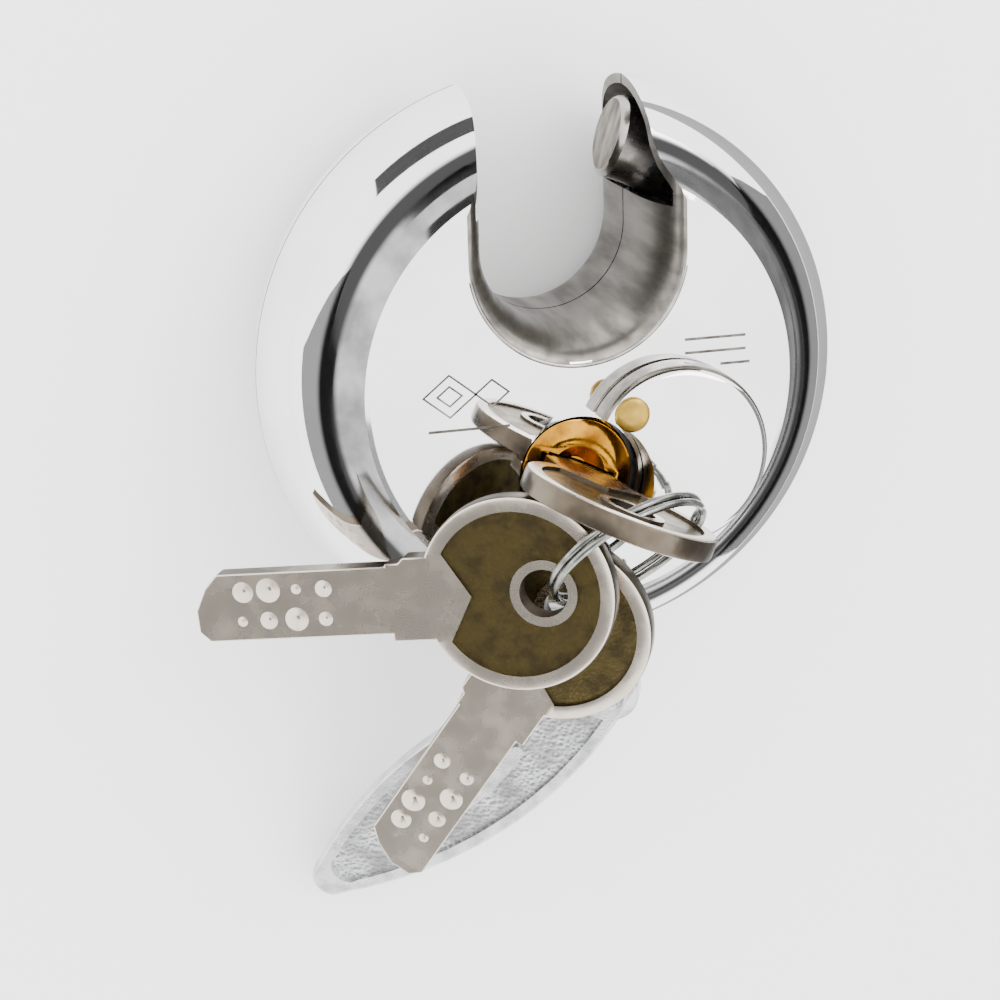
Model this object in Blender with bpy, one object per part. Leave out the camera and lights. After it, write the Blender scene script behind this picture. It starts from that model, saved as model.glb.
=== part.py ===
"""Disc padlock with a swivelling keyhole cover, its key inserted, two more keys, a ring, a link and a tag.

Sizes below are in millimetres; meshes are made in metres. The lock lies on its rear plate:
+Z comes out of the front plate, +Y points to the open side of the throat, and the origin is
the centre of the rear plate. The lock is open, so the shackle is drawn back into the right horn.
"""

import math

import bmesh
import bpy
from mathutils import Matrix, Vector

MM = 0.001
GAP = 0.3

# Case
CASE_R = 35.0
SEAM_Z = 13.0
FRONT_H = 15.0
REAR_H = 13.0
WALL = 1.1
THROAT_R = 10.0
THROAT_Y = 16.3
THROAT_FLARE = 2.95
THROAT_STRAIGHT = 5.0
THROAT_WALL_END = 20.0
CASE_SIDES = 48
FRONT_Z = SEAM_Z + FRONT_H

# Shackle and its drive
SHACKLE_R = 27.8
SHACKLE_ROD = 5.0
SHACKLE_FIRST = 73.0
SHACKLE_LAST = -32.0
SHACKLE_TURN = 58.0
CARRIER_Z = (5.2, 7.6)
ARM_ANGLE = -27.0
ARM_HALF = 1.7
PIVOT_R = 1.45
PIVOT_HEAD_R = 2.2
PIVOT_BORE_R = 1.75
DOWEL_R = 1.3
DOWEL_BORE_R = 1.6
DOWEL_TOP = 11.2
GUIDE_R = (21.2, 22.3)
GUIDE_Z = (8.4, 17.6)
STOP_R = 1.0
HUB_TEETH = 10
PLUG_TEETH = 17

# Lock cylinder
PLUG_X, PLUG_Y = -0.5, -10.5
PLUG_R = 5.2
PLUG_HEAD_R = 6.7
PLUG_TOP = 27.0
HOUSING_R = 7.8
HOUSING_Z = (8.2, 23.6)
KEYHOLE_R = 7.2
SLOT_ANGLE = -24.0
PIN_COUNT = 5
PIN_FIRST_Z = 10.4
PIN_STEP = 2.9
PIN_R = 1.1
PIN_BORE_R = 1.4
BLOCK_REACH = 14.2
BLOCK_HALF = 2.5
LUG_REACH = 10.5
LUG_ANGLES = (165.0, 255.0)
LUG_HALF = 2.6
LUG_H = 3.8
SCREW_R = 1.2
SCREW_BORE_R = 1.5
PLUG_TURN = -SHACKLE_TURN * HUB_TEETH / PLUG_TEETH

# Keyhole cover
COVER_X, COVER_Y = 10.7, -8.1
COVER_R = 10.6
COVER_H = 4.1
COVER_BITE_R = 7.7
COVER_EDGE = 1.3
RIVET_X, RIVET_Y = 4.5, -2.4
RIVET_R = 1.1
RIVET_HEAD_R = 2.05
RIVET_END_Z = 25.6
COVER_HOLE_R = 1.4
PLATE_HOLE_R = 1.5

# Keys
BOW_R = 11.4
BOW_T = 2.6
BOW_RIM = 1.7
BOW_RECESS = 0.4
HOLE_BACK = 3.2
HOLE_R = 2.8
BOSS_R = 3.9
NECK_W = 9.8
SHOULDER = 15.0
BLADE_W = 8.0
BLADE_END = 38.4
# The larger dimples of the loose keys, as (along the blade, across it, radius)
KEY_A_DIMPLES = ((33.6, 1.4, 1.0), (30.6, 1.6, 1.25), (30.2, -2.0, 1.0), (28.0, -1.8, 1.25))
KEY_B_DIMPLES = ((34.2, -1.6, 1.1), (32.6, 1.8, 1.2), (30.2, -1.8, 1.2), (28.6, 1.9, 1.2))

# Places of the keys, rings and tag: a centre and the way each one lies
KEY_IN_BOW_Z = 43.2
KEY_A_BOW = (-10.69, -20.37, 37.57)
KEY_A_DIR = (-0.86, -0.10, -0.49)
KEY_A_UP = (-0.30, 0.02, 0.95)
KEY_B_BOW = (-5.31, -26.32, 33.52)
KEY_B_DIR = (-0.45, -0.82, -0.35)
KEY_B_UP = (-0.45, -0.08, 0.89)
RING_CENTRE = (1.43, -16.1, 39.91)
RING_DIR = (0.91, 0.41, 0.0)
RING_AXIS = (-0.31, 0.69, -0.66)
LINK_CENTRE = (3.15, -29.39, 29.94)
LINK_DIR = (0.10, -0.91, -0.40)
LINK_AXIS = (-0.94, 0.05, -0.34)
TAG_END = (7.78, -33.24, 28.61)
TAG_DIR = (-0.64, -0.61, -0.46)
TAG_UP = (-0.39, -0.16, 0.91)

# Ring, link and tag
RING_R = 9.6
LINK_HALF_LENGTH = 10.15
LINK_HALF_WIDTH = 3.15
WIRE_HALF_WIDTH = 1.0
WIRE_HALF_DEPTH = 0.5
TAG_LENGTH = 59.0
TAG_W = 15.0
TAG_T = 2.6
TAG_RIM = 1.5
TAG_RECESS = 0.5
TAG_HOLE_AT = 7.0
TAG_HOLE_R = 2.6
TAG_BOSS_R = 3.9

MATERIALS = {
    "polished_steel": ((0.80, 0.80, 0.81, 1), 0.06, 1.0),
    "shackle_steel": ((0.55, 0.54, 0.53, 1), 0.30, 1.0),
    "zinc": ((0.48, 0.49, 0.50, 1), 0.45, 1.0),
    "hardened_steel": ((0.32, 0.32, 0.34, 1), 0.40, 1.0),
    "brass": ((0.86, 0.62, 0.24, 1), 0.22, 1.0),
    "nickel": ((0.62, 0.58, 0.52, 1), 0.28, 1.0),
    "spring_steel": ((0.52, 0.53, 0.52, 1), 0.30, 1.0),
    "cast_tag": ((0.72, 0.73, 0.74, 1), 0.38, 1.0),
}


def material(name):
    """The named finish as a Principled material, made once."""
    found = bpy.data.materials.get(name)
    if found:
        return found
    colour, roughness, metallic = MATERIALS[name]
    made = bpy.data.materials.new(name)
    made.use_nodes = True
    shader = made.node_tree.nodes["Principled BSDF"]
    shader.inputs["Base Color"].default_value = colour
    shader.inputs["Roughness"].default_value = roughness
    shader.inputs["Metallic"].default_value = metallic
    return made


def make(name, bm, finish=None, smooth=35.0):
    """An object from a bmesh in millimetres, or a bare cutter when no finish is given."""
    bmesh.ops.remove_doubles(bm, verts=bm.verts, dist=1e-5)
    bmesh.ops.recalc_face_normals(bm, faces=bm.faces)
    bmesh.ops.scale(bm, vec=(MM, MM, MM), verts=bm.verts)
    mesh = bpy.data.meshes.new(name)
    bm.to_mesh(mesh)
    bm.free()
    mesh.shade_smooth()
    mesh.set_sharp_from_angle(angle=math.radians(smooth))
    obj = bpy.data.objects.new(name, mesh)
    bpy.context.scene.collection.objects.link(obj)
    if finish:
        mesh.materials.append(material(finish))
    else:
        obj.hide_render = True
        obj.display_type = "WIRE"
    return obj


def combine(obj, other, operation):
    """Cut another object from this one or join it on, and remove the other."""
    modifier = obj.modifiers.new(operation.lower(), "BOOLEAN")
    modifier.operation = operation
    modifier.solver = "EXACT"
    modifier.object = other
    bpy.context.view_layer.update()
    evaluated = obj.evaluated_get(bpy.context.evaluated_depsgraph_get())
    mesh = bpy.data.meshes.new_from_object(evaluated)
    obj.modifiers.clear()
    old = obj.data
    obj.data = mesh
    bpy.data.meshes.remove(old)
    mesh.name = obj.name
    bpy.data.objects.remove(other)
    mesh.shade_smooth()
    mesh.set_sharp_from_angle(angle=math.radians(35.0))
    return obj


def cut(obj, *others):
    """This object less each of the others."""
    for other in others:
        combine(obj, other, "DIFFERENCE")
    return obj


def join(obj, *others):
    """This object with each of the others joined on."""
    for other in others:
        combine(obj, other, "UNION")
    return obj


def put_origin(obj, point):
    """Move an object's origin to a point in millimetres, leaving its shape where it is."""
    point = Vector(point) * MM
    obj.data.transform(Matrix.Translation(-point))
    obj.location = point
    return obj


def turned(name, profile, finish=None, centre=(0.0, 0.0), sides=32):
    """A solid of revolution about a vertical axis from (radius, z) points that start and end on the axis."""
    bm = bmesh.new()
    rings = []
    for radius, z in profile:
        if radius < 1e-6:
            rings.append([bm.verts.new((centre[0], centre[1], z))])
            continue
        angles = [2 * math.pi * k / sides for k in range(sides)]
        ring = [(centre[0] + radius * math.cos(a), centre[1] + radius * math.sin(a), z) for a in angles]
        rings.append([bm.verts.new(p) for p in ring])
    for low, high in zip(rings, rings[1:]):
        bridge(bm, low, high)
    if len(rings[0]) > 1:
        bridge(bm, rings[-1], rings[0])
    return make(name, bm, finish)


def bridge(bm, low, high):
    """Faces between two rings of vertices, either of which may be a single point."""
    count = max(len(low), len(high))
    for k in range(count):
        a, b = low[k % len(low)], low[(k + 1) % len(low)]
        c, d = high[(k + 1) % len(high)], high[k % len(high)]
        corners = []
        for v in (a, b, c, d):
            if v not in corners:
                corners.append(v)
        if len(corners) > 2:
            bm.faces.new(corners)


def rod(name, radius, z0, z1, finish=None, centre=(0.0, 0.0), sides=24):
    """A plain vertical cylinder."""
    return turned(name, [(0, z0), (radius, z0), (radius, z1), (0, z1)], finish, centre, sides)


def tube(name, inner, outer, z0, z1, finish, centre=(0.0, 0.0), sides=32):
    """A plain vertical ring."""
    return turned(name, [(inner, z0), (outer, z0), (outer, z1), (inner, z1)], finish, centre, sides)


def loft(name, sections, finish=None, closed=False):
    """A skin through equal rings of points, capped at both ends unless it closes on itself."""
    bm = bmesh.new()
    rings = [[bm.verts.new(p) for p in section] for section in sections]
    for low, high in zip(rings, rings[1:]):
        bridge(bm, low, high)
    if closed:
        bridge(bm, rings[-1], rings[0])
    else:
        bm.faces.new(rings[0])
        bm.faces.new(rings[-1])
    return make(name, bm, finish)


def stadium(start, end, half):
    """The outline of a round-ended strap between two (x, y) points."""
    heading = math.degrees(math.atan2(end[1] - start[1], end[0] - start[0]))
    return arc(start, half, heading + 90, heading + 270, 12) + arc(end, half, heading - 90, heading + 90, 12)


def prism(name, outline, z0, z1, finish=None):
    """A flat outline raised from z0 to z1."""
    return loft(name, [[(x, y, z) for x, y in outline] for z in (z0, z1)], finish)


def arc(centre, radius, first, last, steps):
    """Points on a circle, angles in degrees."""
    points = []
    for k in range(steps + 1):
        a = math.radians(first + (last - first) * k / steps)
        points.append((centre[0] + radius * math.cos(a), centre[1] + radius * math.sin(a)))
    return points


def polar(radius, angle, centre=(0.0, 0.0)):
    """A point at a radius and an angle in degrees."""
    a = math.radians(angle)
    return (centre[0] + radius * math.cos(a), centre[1] + radius * math.sin(a))


def lie(obj, centre, direction, up):
    """Place an object made about its own origin, its +X along direction and its +Z near up."""
    x = Vector(direction).normalized()
    z = Vector(up)
    z = (z - x * z.dot(x)).normalized()
    y = z.cross(x)
    turn = Matrix((x, y, z)).transposed().to_4x4()
    turn.translation = Vector(centre) * MM
    obj.matrix_world = turn
    return obj


# ---------------------------------------------------------------- case


def outer_profile(height):
    """The case's half section above the seam, from the rim to the plate, as (radius, height)."""
    rim = [(CASE_R, 0.0), (CASE_R - 0.4, 3.2), (CASE_R - 1.6, 6.6), (CASE_R - 3.7, 9.2), (CASE_R - 6.2, 10.5)]
    crest = rim[-1][1]
    rise = height - crest
    slope = [(27.5, crest + 0.3 * rise), (26.2, crest + 0.75 * rise), (25.4, height - 0.2), (24.6, height)]
    return rim + slope


def inset_profile(profile, wall):
    """The same section moved inwards by the wall, each point along its corner's normal."""
    moved = []
    for k, (r, h) in enumerate(profile):
        before = profile[max(k - 1, 0)]
        after = profile[min(k + 1, len(profile) - 1)]
        run, rise = after[0] - before[0], after[1] - before[1]
        length = math.hypot(run, rise)
        moved.append((r - wall * rise / length, h + wall * run / length))
    moved[-1] = (moved[-1][0], profile[-1][1] - wall)
    moved[0] = (profile[0][0] - wall, profile[0][1])
    return moved


def case_solid(name, profile, start, side, finish=None):
    """A solid under a half section; side is +1 for the front and -1 for the rear."""
    points = [(0.0, SEAM_Z + side * start), (profile[0][0], SEAM_Z + side * start)]
    points += [(r, SEAM_Z + side * h) for r, h in profile if h > start + 0.01]
    points.append((0.0, SEAM_Z + side * profile[-1][1]))
    return turned(name, points, finish, sides=CASE_SIDES)


def throat(name, grow, height, top, side):
    """The throat's U as a cutter, flaring towards the plate; grow widens it all round."""
    levels = [(-2.0, 0.0), (THROAT_STRAIGHT, 0.0)]
    for k in range(1, 6):
        a = math.radians(18.0 * k)
        h = THROAT_STRAIGHT + (height - THROAT_STRAIGHT) * math.sin(a)
        levels.append((h, THROAT_FLARE * (1 - math.cos(a))))
    levels.append((height + 3.0, THROAT_FLARE))
    sections = []
    for h, flare in levels:
        radius = THROAT_R + flare + grow
        centre = (0.0, THROAT_Y - 0.25 * flare)
        outline = [(-radius, top)] + arc(centre, radius, 180, 360, 18) + [(radius, top)]
        sections.append([(x, y, SEAM_Z + side * h) for x, y in outline])
    return loft(name, sections)


def shell(name, height, side):
    """One drawn half of the case, open at the seam and where the rim's channel meets the throat."""
    profile = outer_profile(height)
    body = case_solid(name, profile, 0.15, side, "polished_steel")
    hollow = case_solid("hollow", inset_profile(profile, WALL), -1.0, side)
    cut(hollow, throat("throat_wall", WALL, height - WALL, THROAT_WALL_END, side))
    return cut(body, throat("throat", 0.0, height, CASE_R + 8, side), hollow)


def front_shell():
    """The front half, with the keyhole and the hole for the cover's rivet."""
    body = shell("front_shell", FRONT_H, 1)
    low, high = FRONT_Z - 3, FRONT_Z + 2
    keyhole = rod("keyhole", KEYHOLE_R, low, high, centre=(PLUG_X, PLUG_Y), sides=40)
    rivet_hole = rod("rivet_hole", PLATE_HOLE_R, low, high, centre=(RIVET_X, RIVET_Y), sides=16)
    return cut(body, keyhole, rivet_hole)


def shackle_guide():
    """The curved inner wall that keeps the shackle in the rim's channel."""
    inner, outer = GUIDE_R
    outline = arc((0, 0), outer, -62, 52, 24) + arc((0, 0), inner, 52, -62, 24)
    return prism("shackle_guide", outline, GUIDE_Z[0], GUIDE_Z[1], "zinc")


# ---------------------------------------------------------------- shackle and drive


def shackle():
    """The curved round bar, chamfered at both ends, with a blind hole for its dowel."""
    ends = [(SHACKLE_FIRST, SHACKLE_ROD - 0.6), (SHACKLE_FIRST - 1.2, SHACKLE_ROD)]
    steps = 22
    first, last = SHACKLE_FIRST - 1.2, SHACKLE_LAST + 1.2
    ends += [(first + (last - first) * k / steps, SHACKLE_ROD) for k in range(1, steps + 1)]
    ends.append((SHACKLE_LAST, SHACKLE_ROD - 0.6))
    sections = []
    for angle, radius in ends:
        ring = []
        for k in range(20):
            a = 2 * math.pi * k / 20
            x, y = polar(SHACKLE_R + radius * math.cos(a), angle)
            ring.append((x, y, SEAM_Z + radius * math.sin(a)))
        sections.append(ring)
    bar = loft("shackle", sections, "shackle_steel")
    place = polar(SHACKLE_R, ARM_ANGLE)
    dowel_hole = rod("dowel_hole", DOWEL_BORE_R, 5, DOWEL_TOP + GAP, centre=place, sides=16)
    return put_origin(cut(bar, dowel_hole), (0, 0, SEAM_Z))


def tooth_points(centre, pitch_r, module, pitch_angle, at):
    """One gear tooth as four (x, y) points, centred on an angle in degrees."""
    root, tip = pitch_r - 1.15 * module, pitch_r + 0.75 * module
    foot, top = 0.27 * pitch_angle, 0.10 * pitch_angle
    spots = [(root, -foot), (tip, -top), (tip, top), (root, foot)]
    return [polar(r, at + da, centre) for r, da in spots]


def gear_sizes():
    """Pitch radii of the carrier's hub and of the plug's gear, and their module."""
    distance = math.hypot(PLUG_X, PLUG_Y)
    module = 2 * distance / (HUB_TEETH + PLUG_TEETH)
    return module * HUB_TEETH / 2, module * PLUG_TEETH / 2, module


def shackle_carrier():
    """The flat lever that turns on the pivot: toothed hub, arm, and pad under the shackle."""
    pitch_r, _, module = gear_sizes()
    mesh_at = math.degrees(math.atan2(PLUG_Y, PLUG_X))
    step = 360.0 / HUB_TEETH
    root = pitch_r - 1.15 * module
    outline = []
    for k in (-3, -2, -1, 0, 1):
        outline += tooth_points((0, 0), pitch_r, module, step, mesh_at + k * step)
    last = mesh_at + step + 0.27 * step
    first = mesh_at - 3 * step - 0.27 * step + 360
    outline += arc((0, 0), root, last + 8, first - 8, 10)
    z0, z1 = CARRIER_Z
    plate = prism("shackle_carrier", outline, z0, z1, "hardened_steel")
    arm = stadium(polar(1.2, ARM_ANGLE), polar(24.0, ARM_ANGLE), ARM_HALF)
    pad = rod("pad", 3.6, z0, z1, centre=polar(SHACKLE_R - 0.8, ARM_ANGLE), sides=28)
    join(plate, prism("arm", arm, z0, z1), pad)
    bore = rod("bore", PIVOT_BORE_R, z0 - 1, z1 + 1, sides=20)
    dowel_hole = rod("dowel_hole", DOWEL_BORE_R, z0 - 1, z1 + 1, centre=polar(SHACKLE_R, ARM_ANGLE), sides=16)
    return put_origin(cut(plate, bore, dowel_hole), (0, 0, CARRIER_Z[0]))


def shackle_dowel():
    """The pin that fixes the carrier's pad to the shackle."""
    pin = rod("shackle_dowel", DOWEL_R, CARRIER_Z[0] + 0.2, DOWEL_TOP, "hardened_steel",
              polar(SHACKLE_R, ARM_ANGLE), 16)
    return put_origin(pin, (0, 0, CARRIER_Z[0]))


def drive_gear():
    """The gear ring on the plug's tail that turns the carrier."""
    _, pitch_r, module = gear_sizes()
    centre = (PLUG_X, PLUG_Y)
    step = 360.0 / PLUG_TEETH
    to_hub = math.degrees(math.atan2(-PLUG_Y, -PLUG_X))
    outline = []
    for k in range(PLUG_TEETH):
        outline += tooth_points(centre, pitch_r, module, step, to_hub + (k + 0.5) * step)
    gear = prism("drive_gear", outline, CARRIER_Z[0], CARRIER_Z[1], "brass")
    bore = rod("bore", PLUG_R, CARRIER_Z[0] - 1, CARRIER_Z[1] + 1, centre=centre)
    return put_origin(cut(gear, bore), (PLUG_X, PLUG_Y, CARRIER_Z[0]))


def carrier_pivot():
    """The headed post on the rear plate that the carrier turns on."""
    foot, shoulder, neck_top, top = WALL + GAP, CARRIER_Z[0] - GAP, CARRIER_Z[1] + 1.3, CARRIER_Z[1] + 2.0
    profile = [(0, foot), (PIVOT_HEAD_R, foot), (PIVOT_HEAD_R, shoulder), (PIVOT_R, shoulder),
               (PIVOT_R, neck_top), (PIVOT_HEAD_R, neck_top), (PIVOT_HEAD_R, top), (0, top)]
    return turned("carrier_pivot", profile, "hardened_steel", sides=24)


# ---------------------------------------------------------------- cylinder


def slot_frame(angle):
    """Unit vectors along the keyway and across it, for a plug turned to an angle."""
    a = math.radians(angle)
    return Vector((math.cos(a), math.sin(a), 0)), Vector((-math.sin(a), math.cos(a), 0))


def bar(name, start, direction, radius, first, last, finish=None, sides=12, tip=0.0):
    """A round bar along a level direction from start; tip gives its first end a cone."""
    x = Vector(direction).normalized()
    side = Vector((-x.y, x.x, 0))
    up = Vector((0, 0, 1))
    rings = [(first, radius if not tip else radius * 0.35)]
    if tip:
        rings.append((first + tip, radius))
    rings.append((last, radius))
    sections = []
    for along, size in rings:
        middle = Vector(start) + x * along
        angles = [2 * math.pi * k / sides for k in range(sides)]
        spokes = [side * math.cos(a) + up * math.sin(a) for a in angles]
        sections.append([tuple(middle + spoke * size) for spoke in spokes])
    return loft(name, sections, finish)


def plug():
    """The key plug: a headed barrel with its keyway, countersink and key-pin bores."""
    centre = (PLUG_X, PLUG_Y)
    tail = PLUG_R - 0.3
    profile = [(0, 3.6), (tail, 3.6), (tail, 7.9), (PLUG_R, 7.9), (PLUG_R, 24.3), (PLUG_HEAD_R, 24.3),
               (PLUG_HEAD_R, PLUG_TOP - 0.3), (PLUG_HEAD_R - 0.3, PLUG_TOP), (0, PLUG_TOP)]
    barrel = turned("plug", profile, "brass", centre, 40)
    along, across = slot_frame(SLOT_ANGLE)
    half_w, half_t = BLADE_W / 2 + 0.25, BOW_T / 2 + 0.25
    corners = []
    for u, v in ((-half_w, -half_t), (half_w, -half_t), (half_w, half_t), (-half_w, half_t)):
        p = Vector((PLUG_X, PLUG_Y, 0)) + along * u + across * v
        corners.append((p.x, p.y))
    keyway = prism("keyway", corners, 4.4, PLUG_TOP + 2)
    sink = turned("sink", [(0, PLUG_TOP - 1.6), (1.8, PLUG_TOP - 1.6), (4.4, PLUG_TOP + 1), (0, PLUG_TOP + 1)],
                  None, centre, 32)
    cut(barrel, keyway, sink)
    for k in range(PIN_COUNT):
        start = (PLUG_X, PLUG_Y, PIN_FIRST_Z + k * PIN_STEP)
        cut(barrel, bar("bore", start, across, PIN_BORE_R, 1.0, PLUG_R + 2))
    return put_origin(barrel, (PLUG_X, PLUG_Y, PLUG_TOP))


def plug_clip():
    """The open ring that keeps the drive gear on the plug's tail."""
    centre = (PLUG_X, PLUG_Y)
    inner, outer = PLUG_R, PLUG_R + 1.2
    outline = arc(centre, outer, -60, 240, 28) + arc(centre, inner, 240, -60, 28)
    return put_origin(prism("plug_clip", outline, 3.9, 4.8, "spring_steel"), (PLUG_X, PLUG_Y, PLUG_TOP))


def pin_direction():
    """The level direction of the housing's pin bores: across the keyway once the plug is turned back."""
    return slot_frame(SLOT_ANGLE + PLUG_TURN)[1]


def housing():
    """The fixed barrel that holds the plug, with its block of pin bores and two screw lugs."""
    centre = (PLUG_X, PLUG_Y)
    z0, z1 = HOUSING_Z
    body = rod("cylinder_housing", HOUSING_R, z0, z1, "brass", centre, 40)
    out = pin_direction()
    side = Vector((-out.y, out.x, 0))
    base = Vector((PLUG_X, PLUG_Y, 0))
    block = []
    for u, v in ((0, -BLOCK_HALF), (BLOCK_REACH, -BLOCK_HALF), (BLOCK_REACH, BLOCK_HALF), (0, BLOCK_HALF)):
        p = base + out * u + side * v
        block.append((p.x, p.y))
    join(body, prism("block", block, z0, z1))
    for place in lug_places():
        middle = ((place[0] + PLUG_X) / 2, (place[1] + PLUG_Y) / 2)
        join(body, prism("lug", stadium(middle, place, LUG_HALF), z0, z0 + LUG_H))
    cut(body, rod("bore", PLUG_R + GAP, z0 - 1, z1 + 1, centre=centre, sides=40))
    for k in range(PIN_COUNT):
        start = (PLUG_X, PLUG_Y, PIN_FIRST_Z + k * PIN_STEP)
        cut(body, bar("bore", start, out, PIN_BORE_R, 3.0, 16.0))
    for place in lug_places():
        cut(body, rod("lug_bore", SCREW_BORE_R, z0 - 1, z0 + LUG_H + 1.2, centre=place, sides=16))
    return body


def lug_places():
    """Where the housing's two screws stand."""
    return [polar(LUG_REACH, angle, (PLUG_X, PLUG_Y)) for angle in LUG_ANGLES]


def housing_fasteners():
    """The two posts on the rear plate and the cap screws that hold the housing down on them."""
    for number, place in enumerate(lug_places(), 1):
        post = rod(f"housing_post_{number}", 2.1, WALL + GAP, HOUSING_Z[0] - GAP, "zinc", place, 24)
        cut(post, rod("post_bore", SCREW_BORE_R, 3.4, HOUSING_Z[0] + 1, centre=place, sides=16))
        top = HOUSING_Z[0] + LUG_H + GAP
        profile = [(0, 4.0), (SCREW_R, 4.0), (SCREW_R, top), (2.3, top), (2.3, top + 1.4), (2.0, top + 1.7),
                   (1.1, top + 1.7), (1.1, top + 0.6), (0, top + 0.6)]
        turned(f"housing_screw_{number}", profile, "hardened_steel", place, 20)


def pin_stack():
    """Key pins in the plug, and driver pins and springs in the housing, one of each to a bore."""
    in_plug = slot_frame(SLOT_ANGLE)[1]
    out = pin_direction()
    for k in range(PIN_COUNT):
        start = (PLUG_X, PLUG_Y, PIN_FIRST_Z + k * PIN_STEP)
        first, last = BOW_T / 2 + GAP, PLUG_R - 0.2
        key_pin = bar(f"key_pin_{k + 1}", start, in_plug, PIN_R, first, last, "brass", tip=0.6)
        put_origin(key_pin, (PLUG_X, PLUG_Y, PLUG_TOP))
        bar(f"driver_pin_{k + 1}", start, out, PIN_R, PLUG_R + 0.5, PLUG_R + 3.2, "hardened_steel")
        pin_spring(f"pin_spring_{k + 1}", start, out, PLUG_R + 3.4, 13.2)


def pin_spring(name, start, direction, first, last):
    """A small compression spring along a level direction."""
    coil_r, wire_r, turns, steps = 0.85, 0.17, 4, 8
    x = Vector(direction).normalized()
    side = Vector((-x.y, x.x, 0))
    up = Vector((0, 0, 1))
    sections = []
    count = turns * steps
    for k in range(count + 1):
        a = 2 * math.pi * k / steps
        out = side * math.cos(a) + up * math.sin(a)
        along = first + wire_r + (last - first - 2 * wire_r) * k / count
        middle = Vector(start) + x * along + out * coil_r
        corners = [2 * math.pi * j / 4 for j in range(4)]
        sections.append([tuple(middle + (out * math.cos(b) + x * math.sin(b)) * wire_r) for b in corners])
    return loft(name, sections, "spring_steel")


def spring_cover():
    """The strip that closes the outer ends of the pin bores."""
    out = pin_direction()
    side = Vector((-out.y, out.x, 0))
    base = Vector((PLUG_X, PLUG_Y, 0))
    corners = []
    near, far, half = BLOCK_REACH + GAP, BLOCK_REACH + 0.9, BLOCK_HALF - 0.2
    for u, v in ((near, -half), (far, -half), (far, half), (near, half)):
        p = base + out * u + side * v
        corners.append((p.x, p.y))
    return prism("spring_cover", corners, HOUSING_Z[0] + 0.5, HOUSING_Z[1] - 0.5, "zinc")


# ---------------------------------------------------------------- keyhole cover


def keyhole_cover():
    """The raised cover that swings over the keyhole: a round-edged disc with a bite about the keyhole."""
    bottom = FRONT_Z + GAP
    top = bottom + COVER_H
    profile = [(0, bottom), (COVER_R, bottom), (COVER_R, top - COVER_EDGE)]
    for angle in (30, 60, 90):
        a = math.radians(angle)
        profile.append((COVER_R - COVER_EDGE * (1 - math.cos(a)), top - COVER_EDGE * (1 - math.sin(a))))
    profile.append((0, top))
    cover = turned("keyhole_cover", profile, "polished_steel", (COVER_X, COVER_Y), 48)
    bite = rod("bite", COVER_BITE_R, bottom - 1, top + 1, centre=(PLUG_X, PLUG_Y), sides=40)
    rivet_hole = rod("rivet_hole", COVER_HOLE_R, bottom - 1, top + 1, centre=(RIVET_X, RIVET_Y), sides=16)
    return put_origin(cut(cover, bite, rivet_hole), (RIVET_X, RIVET_Y, FRONT_Z))


def cover_rivet():
    """The headed rivet that the cover turns on, spread over a washer behind the plate."""
    top = FRONT_Z + GAP + COVER_H + 0.2
    profile = [(0, RIVET_END_Z), (RIVET_R, RIVET_END_Z), (RIVET_R, top), (RIVET_HEAD_R, top),
               (RIVET_HEAD_R, top + 0.5), (RIVET_HEAD_R - 0.35, top + 0.8), (0, top + 0.85)]
    return turned("cover_rivet", profile, "brass", (RIVET_X, RIVET_Y), 28)


def washers():
    """The washers behind the cover's rivet and over the carrier's hub, and the drill guard ring."""
    finish = "hardened_steel"
    behind_cover = (RIVET_END_Z + 0.2, FRONT_Z - WALL - 0.4)
    over_hub = (CARRIER_Z[1] + GAP, CARRIER_Z[1] + 1.0)
    tube("cover_washer", COVER_HOLE_R, 2.2, *behind_cover, finish, (RIVET_X, RIVET_Y), 20)
    tube("carrier_washer", PIVOT_BORE_R, 2.4, *over_hub, finish, (0, 0), 20)
    tube("drill_guard", 7.0, 9.2, 24.0, 25.4, finish, (PLUG_X, PLUG_Y), 40)


def stop_pin():
    """The pin on the rear plate that the carrier's arm rests on when the lock is open."""
    along, across = slot_frame(ARM_ANGLE)
    place = along * 15.0 - across * (ARM_HALF + STOP_R + GAP)
    return rod("shackle_stop", STOP_R, WALL + GAP, CARRIER_Z[1], "hardened_steel", (place.x, place.y), 16)


# ---------------------------------------------------------------- keys, rings and tag


def key_blank(name):
    """A dimple key about its bow's centre, blade along +X: round bow, neck, stepped shoulders and blade."""
    half = BOW_T / 2
    bow = rod(name, BOW_R, -half, half, "nickel", sides=48)
    w, n = BLADE_W / 2, NECK_W / 2
    outline = [(6, -n), (SHOULDER - 2.2, -n), (SHOULDER - 1.6, -n + 0.6), (SHOULDER, -n + 0.6), (SHOULDER, -w),
               (BLADE_END - 3.0, -w), (BLADE_END, -w + 4.2), (BLADE_END, w - 1.2), (BLADE_END - 1.2, w),
               (SHOULDER, w), (SHOULDER, n), (6, n)]
    join(bow, prism("blade", outline, -half, half))
    for side in (1, -1):
        floor = side * (half - BOW_RECESS)
        outside = side * (half + 1)
        low, high = min(floor, outside), max(floor, outside)
        pocket = rod("pocket", BOW_R - BOW_RIM, low, high, sides=40)
        cut(pocket, rod("boss", BOSS_R, low - 1, high + 1, centre=(-HOLE_BACK, 0), sides=24))
        cut(bow, pocket)
    return cut(bow, rod("hole", HOLE_R, -half - 1, half + 1, centre=(-HOLE_BACK, 0), sides=24))


def dimpled(key, places):
    """Cut a key's larger dimples, which are conical, into its upper face."""
    face = BOW_T / 2
    for x, y, radius in places:
        profile = [(0, face - 0.55 * radius), (radius, face), (radius, face + 1.0), (0, face + 1.0)]
        cut(key, turned("dimple", profile, None, (x, y), 12))
    return key


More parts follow.
